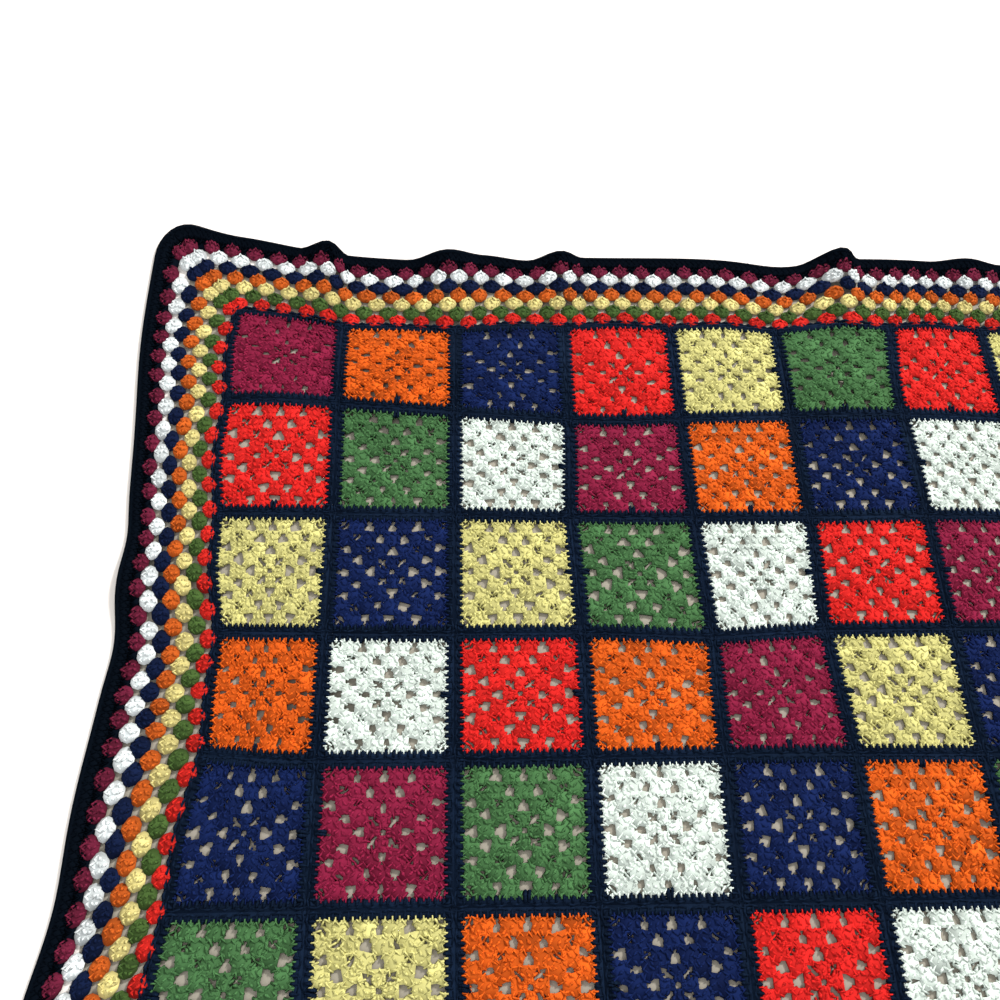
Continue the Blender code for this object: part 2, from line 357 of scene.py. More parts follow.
# share of painted shade beige = 1 where |x| < half width and |y| < half length of the patch, and 0 outside
floor_place = node(floor_tree, "ShaderNodeTexCoord")
floor_split = node(floor_tree, "ShaderNodeSeparateXYZ")
floor_tree.links.new(floor_place.outputs["Object"], floor_split.inputs[0])
shade_patch_masks = []
for axis, half in (("X", SHADE_PATCH_HALF_WIDTH), ("Y", SHADE_PATCH_HALF_LENGTH)):
    away = math(floor_tree, "ABSOLUTE", floor_split.outputs[axis])
    shade_patch_masks.append(math(floor_tree, "LESS_THAN", away, half))
floor_mix = node(floor_tree, "ShaderNodeMix", data_type="RGBA")
floor_mix.inputs["A"].default_value = PALE
floor_mix.inputs["B"].default_value = SHADE_BEIGE
floor_tree.links.new(math(floor_tree, "MULTIPLY", *shade_patch_masks), floor_mix.inputs["Factor"])
floor_tree.links.new(floor_mix.outputs["Result"], floor_shader.inputs["Base Color"])
floor.data.materials.append(floor_paint)
print("floor", FLOOR_SIDE, "m wide")

# %% [markdown]
# ## Yarn as tubes
#
# A strand of yarn is a profile carried along a path. A curve object with a bevel would do for one
# strand, but there are nearly sixty thousand, so the sweep is written out once in numpy for all strands
# of a kind: an array of paths goes in, and one array of rings comes out. The profile has only three
# sides, one of them flat underneath, which smooth shading rounds off.
#
# Each strand also gets a cell in its UV map. Strands that share a cell share their shade,
# so a small map holds every strand and the fine twist of the yarn with it.

# %% Sweep tubes along paths
CELLS = 16  # shades of yarn in one piece
CELL_MARGIN = 0.06  # of a cell's width, left free on each side of a strand
CAP_SPREAD, CAP_DEPTH = 0.2, 0.02  # how far a tube's end cap reaches across its cell and along it


def tubes(
    path, half_width, half_height, band, cell, sides=3, closed=False, low=0.4, high=1.0, end_light=0.75
):
    """Closed tubes along many paths at once.
    Ring point = path point + side * half width * cos(turn) + rise * half height * sin(turn), where side
    points to the right of the way ahead and rise completes the corner. band is the tubes' share of the
    map's height, low and high are the painted light of their underside and top, where the underside is
    painted darker as shade, and the last argument is what their ends keep of it, so that their ends are
    painted darker too."""
    count, stations = path.shape[:2]
    if closed:
        ahead = np.roll(path, -1, axis=1) - np.roll(path, 1, axis=1)
    else:
        ahead = np.gradient(path, axis=1)
    ahead /= np.linalg.norm(ahead, axis=-1, keepdims=True)
    side = np.cross(ahead, [0.0, 0.0, 1.0])
    side /= np.linalg.norm(side, axis=-1, keepdims=True)
    rise = np.cross(side, ahead)
    turn = -np.pi / 2 + np.pi / sides * (2 * np.arange(sides) - 1)
    wide = np.broadcast_to(half_width, (count, stations))[:, :, None, None] * np.cos(turn)[:, None]
    tall = np.broadcast_to(half_height, (count, stations))[:, :, None, None] * np.sin(turn)[:, None]
    rings = path[:, :, None] + side[:, :, None] * wide + rise[:, :, None] * tall

    # painted shade: each tube's colour is darker on its underside and towards its ends
    level = (np.sin(turn) - np.sin(turn).min()) / np.ptp(np.sin(turn))
    along = np.linspace(0, 1, stations)
    kept = np.ones(stations) if closed else 1 - (1 - end_light) * np.abs(2 * along - 1) ** 3
    painted_light = (low + (high - low) * level)[None, :] * kept[:, None]

    i, k = np.meshgrid(np.arange(stations if closed else stations - 1), np.arange(sides), indexing="ij")
    i, k = i.ravel(), k.ravel()
    corner_i = np.stack([i, i + 1, i + 1, i], axis=-1)
    corner_k = np.stack([k, k, k + 1, k + 1], axis=-1)
    walls = (corner_i % stations) * sides + corner_k % sides
    steps = stations if closed else stations - 1
    wall_map = np.stack([corner_k / sides, corner_i / steps], axis=-1)
    faces = [(walls, wall_map)]
    if not closed:
        round_cap = np.arange(sides)
        small = 0.5 + CAP_SPREAD * np.stack([np.cos(turn), np.sin(turn)], axis=-1)
        faces.append((round_cap[None], (small * [1, CAP_DEPTH])[None]))
        last_cap = stations * sides - 1 - round_cap
        faces.append((last_cap[None], (small * [1, -CAP_DEPTH] + [0, 1])[None]))
    return {
        "points": rings.reshape(count, -1, 3),
        "faces": faces,
        "painted_light": painted_light.ravel(),
        "cell": np.broadcast_to(cell, (count,)),
        "band": band,
    }


print(CELLS, "cells across the map of each piece")

# %% Three small helpers for strands


def picked(part, chosen):
    """The same kind of tubes, but only the chosen ones."""
    return {**part, "points": part["points"][chosen], "cell": part["cell"][chosen]}


def random_cells(count):
    """A random cell of the map for each of that many strands."""
    return rng.integers(0, CELLS, count)


def at_height(place, lift):
    """Flat places (u, v) with their heights w beside them."""
    lift = np.broadcast_to(lift, place.shape[:-1])
    return np.concatenate([place, lift[..., None]], axis=-1)


# %% [markdown]
# ## From tubes to one mesh
#
# A mesh is vertices, corners and faces. foreach_set fills each list from a flat array in one call,
# which takes a blink for a hundred thousand vertices where a loop would take minutes.

# %% Join parts into a piece


def make_piece(name, parts, finishes):
    """One smooth mesh of many closed tubes, laid on the resting cloth, with the yarn's map, its painted
    shade and its tone. Each kind of tube takes its own band of the map, and each strand one cell across
    it."""
    corners, sizes, places, wears = [], [], [], []
    start = 0
    for part in parts:
        count, size = part["points"].shape[:2]
        first = start + np.arange(count) * size
        low, high = part["band"]
        for face, face_map in part["faces"]:
            corners.append((first[:, None, None] + face).ravel())
            sizes.append(np.full(count * len(face), face.shape[1]))
            wears.append(np.full(count * len(face), part.get("finish", 0)))
            inset = CELL_MARGIN + (1 - 2 * CELL_MARGIN) * face_map[None, ..., 0]
            across = (part["cell"][:, None, None] + inset) / CELLS
            along = np.broadcast_to(low + (high - low) * face_map[None, ..., 1], across.shape)
            places.append(np.stack([across, along], axis=-1).reshape(-1, 2))
        start += count * size
    points = rest(np.concatenate([part["points"].reshape(-1, 3) for part in parts]))
    corners, sizes = np.concatenate(corners), np.concatenate(sizes)

    mesh = bpy.data.meshes.new(name)
    mesh.vertices.add(len(points))
    mesh.vertices.foreach_set("co", points.astype(np.float32).ravel())
    mesh.loops.add(len(corners))
    mesh.loops.foreach_set("vertex_index", corners.astype(np.int32))
    mesh.polygons.add(len(sizes))
    mesh.polygons.foreach_set("loop_start", (np.cumsum(sizes) - sizes).astype(np.int32))
    mesh.polygons.foreach_set("material_index", np.concatenate(wears).astype(np.int32))
    mesh.update(calc_edges=True)
    mesh.shade_smooth()
    yarn_map = mesh.uv_layers.new(name="OFBake")
    yarn_map.uv.foreach_set("vector", np.concatenate(places).astype(np.float32).ravel())
    # the painted shade of each vertex, and each strand's random tone from its cell
    painted_light = np.concatenate([np.tile(part["painted_light"], len(part["points"])) for part in parts])
    shade = np.concatenate([np.repeat(part["cell"], part["points"].shape[1]) for part in parts])
    mesh.attributes.new("painted_light", "FLOAT", "POINT").data.foreach_set("value", painted_light.astype(np.float32))
    shade = (shade / (CELLS - 1) * 2 - 1).astype(np.float32)
    mesh.attributes.new("shade", "FLOAT", "POINT").data.foreach_set("value", shade)
    for finish in finishes:
        mesh.materials.append(finish)
    piece = bpy.data.objects.new(name, mesh)
    bpy.context.scene.collection.objects.link(piece)
    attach(piece, "root")
    return piece


# %% [markdown]
# ## The yarn's finish
#
# Acrylic worsted yarn is a few plies twisted together, matt, with a soft bloom of fibre ends, and it
# lies in small loops along every strand. A picture of yarn could be wrapped on, but it would repeat and
# have to be carried about. Here a wave along the strand's own map gives the twist, noise the fibres and
# rounded cells the loops, and the colour is painted darker in the grooves of the twist and towards the
# edge of each loop, as shade. The painted shade stored on each strand darkens the sides that face its
# neighbours, where little light gets in, and less of it is painted on the pale yarns, since more light
# comes through them.

# %% Yarn colours
YARNS = {
    "burgundy": (0.245, 0.0138, 0.050),
    "orange": (0.695, 0.113, 0.0095),
    "navy": (0.0062, 0.0155, 0.077),
    "red": (0.680, 0.0185, 0.0155),
    "yellow": (0.610, 0.577, 0.219),
    "green": (0.062, 0.163, 0.058),
    "white": (0.690, 0.775, 0.715),
    "dark": (0.0047, 0.0110, 0.027),
    # the edging is the same dark yarn as the joins, painted darker as shade: lying smooth and facing up,
    # it would catch more light
    "edging": (0.0022, 0.0038, 0.0068),
}
# the border's copies of the squares' yarns, painted as shade: most are darker, since its raised knobs
# would catch more light than the flat squares, and a few are lighter, as painted light
BORDER_SHADED_YARNS = {
    "red": (0.600, 0.020, 0.014),
    "green": (0.058, 0.112, 0.026),
    "yellow": (0.670, 0.585, 0.230),
    "orange": (0.540, 0.105, 0.013),
    "navy": (0.0050, 0.0110, 0.042),
    "white": (0.740, 0.790, 0.795),
    "burgundy": (0.155, 0.0145, 0.041),
}
PLAIN_SHINE = 0.12
# a dark yarn shows shine most, so it is given least
SHINE = {"dark": 0.03, "edging": 0.0, "navy": 0.06, "burgundy": 0.08}
DEEPEST_PAINTED_SHADE = 0.48  # painted shade: what is left of the colour in the deepest places
# the pale yarns keep more of their colour in the deepest places: less painted shade
PALE_PAINTED_SHADE = {"white": 0.68, "yellow": 0.56}
print(len(YARNS), "yarns of the squares and edging,", len(BORDER_SHADED_YARNS), "of the border")

# %% Yarn material
TWISTS = 15  # turns of the plies in the height of the map
FIBRE_CELLS = (CELLS * 3, 14, 1)  # cells of the fibre noise across and up the map
LOOP_CELLS = (CELLS * 2, 12, 1)
# each factor of the colour = gain * its pattern + base, given here as (gain, base)
# tone and mottle vary at random; the plies' factor is painted shade, darker in the twist's grooves
TONE, PLY_SHADE = (0.10, 1.0), (0.06, 1.0)
# the loops' factor is painted shade, darker towards the edge of each small loop
MOTTLE, LOOP_SHADE = (0.6, 0.70), (-0.90, 1.30)
TWIST_HEIGHT, FIBRE_HEIGHT, LOOP_HEIGHT = 0.3, 0.7, -1.2  # shares of the bump
BUMP_STRENGTH, BUMP_DEPTH = 0.65, 0.45 * MM


def yarn_finish(name, colour, shine, deepest_shade):
    """Colour = yarn colour * painted light * tone * mottle * ply shade * loop shade. The painted light
    grows with the stored painted shade attribute, lightest at a strand's top, and tone with the strand's
    random shade, mottle follows the fibre noise, the ply shade is painted along a wave that runs round
    and along the strand, darker in its grooves, and the loop shade is painted darker from the middle of
    each small loop to its edge."""
    finish = bpy.data.materials.new("yarn_" + name)
    finish.use_nodes = True
    tree = finish.node_tree
    shader = tree.nodes["Principled BSDF"]
    shader.inputs["Roughness"].default_value = 0.95
    shader.inputs["Specular IOR Level"].default_value = shine

    yarn_map = node(tree, "ShaderNodeUVMap", uv_map="OFBake").outputs["UV"]
    split = node(tree, "ShaderNodeSeparateXYZ")
    tree.links.new(yarn_map, split.inputs[0])
    around = math(tree, "MULTIPLY", split.outputs["X"], CELLS)
    turns = math(tree, "MULTIPLY_ADD", split.outputs["Y"], TWISTS, around)
    twist = math(tree, "SINE", math(tree, "MULTIPLY", turns, 2 * np.pi))

    def on_map(texture, cells):
        """A texture whose cells are counted across and up the map."""
        stretched = node(tree, "ShaderNodeMapping")
        stretched.inputs["Scale"].default_value = cells
        tree.links.new(yarn_map, stretched.inputs["Vector"])
        tree.links.new(stretched.outputs["Vector"], texture.inputs["Vector"])
        texture.inputs["Scale"].default_value = 1.0
        return texture

    fibre = on_map(node(tree, "ShaderNodeTexNoise"), FIBRE_CELLS)
    fibre.inputs["Detail"].default_value = 4.0
    fibre = fibre.outputs["Fac"]
    loops = on_map(node(tree, "ShaderNodeTexVoronoi", voronoi_dimensions="2D"), LOOP_CELLS)
    loops = loops.outputs["Distance"]

    painted_light = node(tree, "ShaderNodeAttribute", attribute_name="painted_light").outputs["Fac"]
    shade = node(tree, "ShaderNodeAttribute", attribute_name="shade").outputs["Fac"]
    # painted shade from the stored attribute, then random tone and mottle, then painted shade in the
    # grooves and between the loops
    value = math(tree, "MULTIPLY_ADD", painted_light, 1 - deepest_shade, deepest_shade)
    for pattern, (gain, base) in ((shade, TONE), (fibre, MOTTLE), (twist, PLY_SHADE), (loops, LOOP_SHADE)):
        value = math(tree, "MULTIPLY", value, math(tree, "MULTIPLY_ADD", pattern, gain, base))
    scaled = node(tree, "ShaderNodeVectorMath", operation="SCALE")
    scaled.inputs[0].default_value = colour
    tree.links.new(value, scaled.inputs["Scale"])
    tree.links.new(scaled.outputs[0], shader.inputs["Base Color"])

    height = math(tree, "MULTIPLY", twist, TWIST_HEIGHT)
    height = math(tree, "MULTIPLY_ADD", fibre, FIBRE_HEIGHT, height)
    height = math(tree, "MULTIPLY_ADD", loops, LOOP_HEIGHT, height)
    bump = node(tree, "ShaderNodeBump")
    bump.inputs["Strength"].default_value = BUMP_STRENGTH
    bump.inputs["Distance"].default_value = BUMP_DEPTH
    tree.links.new(height, bump.inputs["Height"])
    tree.links.new(bump.outputs["Normal"], shader.inputs["Normal"])
    return finish


finishes = {}
# the border's finishes take its lit and shaded copies of the yarns
for yarn_colours, ending in ((YARNS, ""), (BORDER_SHADED_YARNS, "_border")):
    for name, colour in yarn_colours.items():
        shine, deepest_shade = SHINE.get(name, PLAIN_SHINE), PALE_PAINTED_SHADE.get(name, DEEPEST_PAINTED_SHADE)
        finishes[name + ending] = yarn_finish(name + ending, colour, shine, deepest_shade)
print(len(finishes), "yarn finishes")

# %% [markdown]
# ## One treble stitch
#
# A treble is a tall stitch: the yarn is wrapped round the hook, drawn through and looped off in pairs.
# Seen from the front it is a stack of short plump strokes: two that zigzag up its post, and an arch
# across its head with a small dark gap under it. Some trebles zigzag to the left and some to the right,
# as the yarn happens to fall. They could be one long looped path, but most of that would run out of
# sight. Each stroke is a short table of places, given as shares of the stitch's height and half width,
# so that the same three strokes make every treble of the blanket, wide or narrow. A low flat core behind
# each cluster closes its middle.

# %% Strokes of a treble
# rise from foot to head, place across in half widths, height in mm, thickness share
LOW = [(-0.02, -0.55, 1.2, 0.85), (0.17, 0.00, 2.7, 1.20), (0.36, 0.60, 1.6, 0.85)]
CROSS = [(0.32, 0.62, 1.6, 0.85), (0.49, 0.00, 3.1, 1.20), (0.66, -0.60, 1.9, 0.85)]
ARCH = [(0.68, -0.98, 1.8, 0.80), (0.98, 0.00, 3.1, 1.10), (0.70, 0.98, 1.8, 0.80)]
# each stroke with its share of the map's height
STROKES = [(LOW, (0.02, 0.28)), (CROSS, (0.30, 0.56)), (ARCH, (0.58, 0.84))]
CHAIN_BAND, POINT_BAND, RING_BAND = (0.85, 0.89), (0.90, 0.94), (0.95, 0.99)
YARN_HALF = 1.6 * MM  # half the thickness of a strand
FLATTENED = 0.9  # how much lower than wide a strand lies
STROKE_JITTER = 0.25 * MM


def stroke(foot, head, foot_half, head_half, hand, table, band, thickness=1.0, raised=0.0):
    """One stroke of many trebles. Place = foot + (head - foot) * rise + right * hand * across * half
    width, where the half width grows evenly from foot to head, and raised lifts each treble's strokes
    in mm."""
    rise, across, height, thick = np.array(table).T
    line = head - foot
    ahead = line / np.linalg.norm(line, axis=-1, keepdims=True)
    right = quarter_turned(ahead, 1)
    half = (foot_half[:, None] * (1 - rise) + head_half[:, None] * rise) * hand[:, None]
    place = foot[:, None] + line[:, None] * rise[:, None] + right[:, None] * (half * across)[..., None]
    path = at_height(place, (height + np.reshape(raised, (-1, 1))) * MM)
    path = path + rng.normal(0, STROKE_JITTER, path.shape)
    thick = YARN_HALF * np.reshape(thickness, (-1, 1)) * thick
    # no strand sinks through the underside
    path[..., 2] = np.maximum(path[..., 2], 0.5 * thick + 0.1 * MM)
    return tubes(path, thick, thick * FLATTENED, band, random_cells(len(path)))


def treble(foot, head, foot_half, head_half, **settings):
    """The three strokes of many trebles, half of them mirrored."""
    hand = rng.choice([-1.0, 1.0], len(foot))
    posts = (foot, head, foot_half, head_half, hand)
    return [stroke(*posts, table, band, **settings) for table, band in STROKES]


print(len(STROKES), "strokes in a treble")

# %% The fill behind a cluster
CORE_LIFT = 1.45 * MM  # height of a slab's middle
CORE_LIFT_SPREAD, CORE_SLOPE = 0.12 * MM, 0.25 * MM  # how much that varies, and rises to the head
CORE_HALF_HEIGHT = 1.75 * MM
KNOB_HALF, KNOB_REACH = 9.5 * MM, 1.25  # half width, and half length in shares of the stitches' own
KNOB_LIFT, KNOB_HALF_HEIGHT = 2.0 * MM, 2.1 * MM
KNOB_SPREAD = 0.05  # share by which the domes' widths vary


def core(foot, head, foot_half, head_half, band):
    """The low fill behind a cluster: a flat slab from its foot to its head.
    Half width = foot half + (head half - foot half) * flare + spread: its sides curve outwards to the
    head, and it spreads a little at the foot, which rounds the holes."""
    share, flare = np.array([0.0, 0.22, 0.5, 1.0]), np.array([0.0, 0.0, 0.2, 1.0])
    spread = np.array([1.9, 1.2, 0.0, 0.0]) * MM
    place = foot[:, None] + (head - foot)[:, None] * share[:, None]
    # each slab has a height and a slope of its own, as flat faces in one plane would show black specks
    varied = rng.uniform(-CORE_LIFT_SPREAD, CORE_LIFT_SPREAD, (len(foot), 1))
    path = at_height(place, CORE_LIFT + varied + (share - 0.5) * CORE_SLOPE)
    half = (foot_half[:, None] * (1 - flare) + head_half[:, None] * flare + spread) * np.sqrt(2)
    # painted shade: the slab is painted darker than the strands in front of it
    painted_light_levels = {"low": 0.2, "high": 0.7, "end_light": 1.0}
    return tubes(path, half, CORE_HALF_HEIGHT, band, random_cells(len(path)), sides=4, **painted_light_levels)


def knob(foot, head, band, fullness=1.0):
    """The fill of a border cluster: a low closed dome. Half width = KNOB_HALF * fullness *
    sqrt(1 - t^2) at t half lengths from its middle, and it varies a little from cluster to cluster."""
    at = np.array([-0.94, -0.6, 0.0, 0.6, 0.94])
    middle, reach = (foot + head) / 2, (head - foot) / 2 * KNOB_REACH
    place = middle[:, None] + reach[:, None] * at[:, None]
    path = at_height(place, KNOB_LIFT)
    swell = np.sqrt(1 - at**2)
    half = KNOB_HALF * fullness * rng.normal(1, KNOB_SPREAD, (len(path), 1)) * swell
    tall = KNOB_HALF_HEIGHT * swell
    # painted shade: the dome is painted darker than the strands on it
    return tubes(path, half, tall, band, random_cells(len(path)), sides=5, low=0.2, high=0.6)


print(f"tops of the slabs at about {(CORE_LIFT + CORE_HALF_HEIGHT / np.sqrt(2)) / MM:.1f} mm")

# %% [markdown]
# ## A granny square
#
# A square starts from a small ring. Round one has one cluster of three trebles on each side,
# round two has two, and so on to four. Every cluster is worked into the gap of the round before,
# so it is narrow at its foot and wide at its head, and leaves a bell-shaped hole on each side.
# The clusters at a side's ends share the corner gap and fan out to fill the corner.
# One side's ten clusters are worked out once, then turned to the four sides of all the squares.

# %% The clusters of one side
SQUARE_ROUNDS = 4
RING = 3.0 * MM
RISE = 11.75 * MM  # height of one round
PITCH = 22.5 * MM  # from cluster to cluster
HEAD_STEP = 6.9 * MM  # between the heads of one cluster
FOOT_STEP = 3.7 * MM
RING_STEP = 1.7 * MM
SINK = 2.0 * MM  # how far a foot reaches into the round before
CORNER_ROOM = 7.6 * MM  # left for the chain that turns the corner, and for the small gap inside it
CORNER_DRAW = 1.6 * MM  # how far a corner cluster's fill is drawn back from the corner

number = np.repeat(np.arange(1, SQUARE_ROUNDS + 1), np.arange(1, SQUARE_ROUNDS + 1))
order = np.concatenate([np.arange(count) for count in range(1, SQUARE_ROUNDS + 1)])
middle = (order - (number - 1) / 2) * PITCH
inner = RING + (number - 1) * RISE
outer = inner + RISE
starts, stops = order == 0, order == number - 1
left_head = np.where(starts, CORNER_ROOM - outer, middle - HEAD_STEP)
right_head = np.where(stops, outer - CORNER_ROOM, middle + HEAD_STEP)
head_step = (right_head - left_head) / 2
print(len(number), "clusters on a side,", 3 * 4 * len(number), "trebles in a square")

# %% Square centres, their yarns and how tightly each is worked
# The layout, one letter for each square: burgundy, orange, navy, red, yellow, green, white.
LAYOUT = """
    BONRYGRY
    RGWBONWG
    YNYGWRBO
    OWROBYNW
    NBGWNOGR
    GYONRWYB
    WRBYGBON
    BGWOYRNG
    YNRGBOWY
    OWBNWGRB
""".split()
SQUARE_YARNS = ("burgundy", "orange", "navy", "red", "yellow", "green", "white")
LETTERS = {name[0].upper(): name for name in SQUARE_YARNS}
# How far open each row of squares is worked, and how much that varies from square to square.
ROW_OPENNESS = (0.1, 0.9, 0.95, 0.85, 0.70, 0.70, 1.0, 1.05, 0.95, 0.9)
OPENNESS_SPREAD = 0.14
# these yarns are thicker, and close the gaps more
FULLER = {"burgundy": 0.50, "orange": 0.35, "navy": 0.15, "white": 0.40}

square_yarn = np.array([LETTERS[letter] for row in LAYOUT for letter in row])
row_of, column_of = np.divmod(np.arange(ROWS * COLUMNS), COLUMNS)
square_centre = np.stack(
    [(column_of + 0.5) * SQUARE - WIDTH / 2, LENGTH / 2 - (row_of + 0.5) * SQUARE], axis=-1
)
openness = np.array(ROW_OPENNESS)[row_of] + rng.normal(0, OPENNESS_SPREAD, len(row_of))
openness -= np.array([FULLER.get(name, 0.0) for name in square_yarn])
print({name: int((square_yarn == name).sum()) for name in SQUARE_YARNS})

# %% How loosely the clusters are worked
TREBLE_AT = np.array([-1, 0, 1])  # a cluster's left, middle and right treble
SLACK_STEP = 2.6 * MM  # how much wider apart the feet stand where the square is worked tightly
CORNER_FAN = 1.2 * MM  # how far a corner cluster's feet are drawn to the corner
RING_SINK, LAST_SHORT = 0.5 * MM, 0.8 * MM  # the first round's sink, and what the last one lacks
# how far whole clusters stray, then their feet, and how much the step between two feet varies
WANDER, FOOT_WANDER, STEP_SPREAD = 0.6 * MM, 1.0 * MM, 0.5 * MM
# how much single feet and heads stray sideways, and heads up and down
FOOT_JITTER, HEAD_JITTER, HEAD_RISE_JITTER = 0.25 * MM, 0.3 * MM, 0.4 * MM
# half widths of a treble: its foot on the ring, then shares of the steps between feet and heads
RING_FOOT_HALF, FOOT_SHARE, HEAD_SHARE = 1.3 * MM, 0.62, 0.52
PLUMPING = 0.7  # power by which a wider treble's strokes are thicker
print("whole clusters stray by about", WANDER / MM, "mm, their feet by", FOOT_WANDER / MM, "mm more")

# %% Lay the clusters out over every square


def turned_to_sides(local):
    """Square-local points (squares, 4 sides, ...) turned to their side and moved to their square."""
    turned = [quarter_turned(local[:, turns], turns) for turns in range(4)]
    moved = np.stack(turned, axis=1)
    shape = (len(square_centre),) + (1,) * (moved.ndim - 2) + (2,)
    return moved + square_centre.reshape(shape)


squares = len(square_centre)
shape = (squares, 4, len(number), 3)
slack = (1 - openness)[:, None, None, None]
wander = rng.normal(0, WANDER, shape[:3] + (1,))
foot_wander = rng.normal(0, FOOT_WANDER, shape[:3] + (1,)) * (number > 1)[:, None]
foot_step = FOOT_STEP + SLACK_STEP * slack + rng.normal(0, STEP_SPREAD, shape[:3] + (1,))
foot_x = np.where(
    number[:, None] == 1,
    RING_STEP * TREBLE_AT,
    middle[:, None] + TREBLE_AT * foot_step + CORNER_FAN * (stops * 1.0 - starts)[:, None],
)
foot_x = foot_x + wander + foot_wander + rng.normal(0, FOOT_JITTER, shape)
head_mid = (left_head + right_head)[:, None] / 2
head_x = head_mid + TREBLE_AT * head_step[:, None] + wander + rng.normal(0, HEAD_JITTER, shape)
foot_y = np.broadcast_to((inner - np.where(number == 1, RING_SINK, SINK))[:, None], shape)
last_short = (number == SQUARE_ROUNDS) * LAST_SHORT
head_y = (outer - last_short)[:, None] + rng.normal(0, HEAD_RISE_JITTER, shape)
foot = turned_to_sides(np.stack([foot_x, foot_y], axis=-1)).reshape(-1, 2)
head = turned_to_sides(np.stack([head_x, head_y], axis=-1)).reshape(-1, 2)
foot_half = np.where(number[:, None] == 1, RING_FOOT_HALF, foot_step * FOOT_SHARE)
foot_half = np.broadcast_to(foot_half, shape).ravel()
head_half = np.broadcast_to((head_step * HEAD_SHARE)[:, None], shape).ravel()
square_of_treble = np.repeat(np.arange(squares), 4 * len(number) * 3)
plumpness = np.broadcast_to((head_step / HEAD_STEP)[:, None] ** PLUMPING, shape).ravel()
square_trebles = treble(foot, head, foot_half, head_half, thickness=plumpness)
print(len(foot), "trebles")

# %% Chains round the corners and the starting rings
# how far in from the corner, to each side, and height
CHAIN = [(0.4, 6.0, 1.7), (0.9, 0.9, 2.4), (6.0, 0.4, 1.7)]
RING_LINE = RING + 0.6 * MM  # radius of the middle of the starting ring's strand
RING_HALF_WIDTH, RING_HALF_HEIGHT = 1.2 * MM, 1.4 * MM

chain = np.array(CHAIN) * MM
corner_outer = RING + RISE * np.arange(1, SQUARE_ROUNDS + 1)
corner = corner_outer[:, None, None] - chain[:, :2]
corner = turned_to_sides(np.broadcast_to(corner, (squares, 4) + corner.shape)).reshape(-1, 3, 2)
corner_path = at_height(corner, chain[:, 2])
corner_chains = tubes(corner_path, YARN_HALF, YARN_HALF, CHAIN_BAND, random_cells(len(corner_path)))
square_of_chain = np.repeat(np.arange(squares), 4 * SQUARE_ROUNDS)

ring_turn = np.linspace(0, 2 * np.pi, 8, endpoint=False)
ring_line = np.stack([np.cos(ring_turn), np.sin(ring_turn)], axis=-1) * RING_LINE
ring_path = at_height(square_centre[:, None] + ring_line, YARN_HALF)
ring_cells = random_cells(squares)
rings = tubes(ring_path, RING_HALF_WIDTH, RING_HALF_HEIGHT, RING_BAND, ring_cells, closed=True)
print(len(corner_path), "corner chains,", squares, "rings")

# %% [markdown]
# ## The dark rounds that join the squares
#
# Each square is edged with one dark round of short stitches and joined to its neighbours along it.
# A short stitch is worked over the coloured edge, so its leg lies on top of it and bites into it, and
# the coloured yarn stands out between two legs as a small point: that gives the squares their toothed
# outline. A jagged outline could be cut from a sheet, but then it would have no depth.

# %% Sizes of the dark round
TEETH = 17  # short stitches along one side of a square
LOOPS = 8  # loops that lie along the join
EDGE = RING + SQUARE_ROUNDS * RISE  # from a square's middle to its coloured edge
JOIN = SQUARE / 2  # and to the join
TOOTH_SPAN = 2 * EDGE - 3 * MM  # from the first leg to the last
LOOP_SPAN = SQUARE - 12 * MM
# along the side, distance from the coloured edge, height, thickness share
LEG = [(-0.2, -1.5, 2.8, 1.10), (0.1, 0.8, 3.3, 1.25), (0.4, 5.0, 2.2, 1.1)]
LOOP = [(-6.6, 3.6, 2.0, 1.1), (0.0, 5.3, 2.7, 1.2), (6.6, 3.8, 2.0, 1.1)]
POINT = [(0.0, -2.0, 2.4, 1.00), (0.0, 1.5, 3.1, 0.50)]
NOTCH = [(-0.4, -5.2, 3.0, 1.1), (0.2, -2.0, 3.9, 1.5), (0.5, 3.0, 2.8, 1.2)]
NOTCH_AT = np.array([-1.5, 1.5]) * MM
# one plump stitch at each corner: distances from the two coloured edges, height
TURN = [(-0.5, 3.2, 1.8), (2.6, 2.6, 2.9), (3.2, -0.5, 1.8)]
TURN_HALF_WIDTH, TURN_HALF_HEIGHT = 2.3 * MM, 1.7 * MM
# shares of the map's height for the dark strands
LEG_BAND, LOOP_BAND, ROW_BAND, TURN_BAND = (0.02, 0.30), (0.32, 0.58), (0.60, 0.84), (0.86, 0.98)
JOIN_YARN_HALF = 1.6 * MM
STITCH_WANDER, STITCH_LIFT_SPREAD = 0.4 * MM, 0.15 * MM  # how much their places and heights vary
print(f"{TEETH} legs {TOOTH_SPAN / (TEETH - 1) / MM:.1f} mm apart on each side")

# %% Dark legs and loops, and the coloured points between them


def along_side(count, span):
    """Evenly spaced places along a square's side, from one end of the span to the other."""
    return np.linspace(-1, 1, count) * span / 2


def edge_strokes(table, at, band, unevenness=0.0):
    """The same short stroke at each place along every side of every square, its distance from the edge
    varying by unevenness."""
    along, out, height, thick = np.array(table).T
    shape = (squares, 4, len(at), len(table))
    x = at[:, None] + along * MM + rng.normal(0, STITCH_WANDER, shape[:3] + (1,))
    y = EDGE + out * MM + rng.normal(0, STITCH_WANDER, shape[:3] + (1,)) * (out < 0)
    x, y = np.broadcast_arrays(x, y + rng.normal(0, unevenness, shape[:3] + (1,)))
    place = turned_to_sides(np.stack([x, y], axis=-1)).reshape(-1, len(table), 2)
    path = at_height(place, height * MM + rng.normal(0, STITCH_LIFT_SPREAD, place.shape[:2]))
    half = JOIN_YARN_HALF * thick
    # painted shade: these strands' undersides are painted less dark than most
    return tubes(path, half, half, band, random_cells(len(path)), low=0.6)


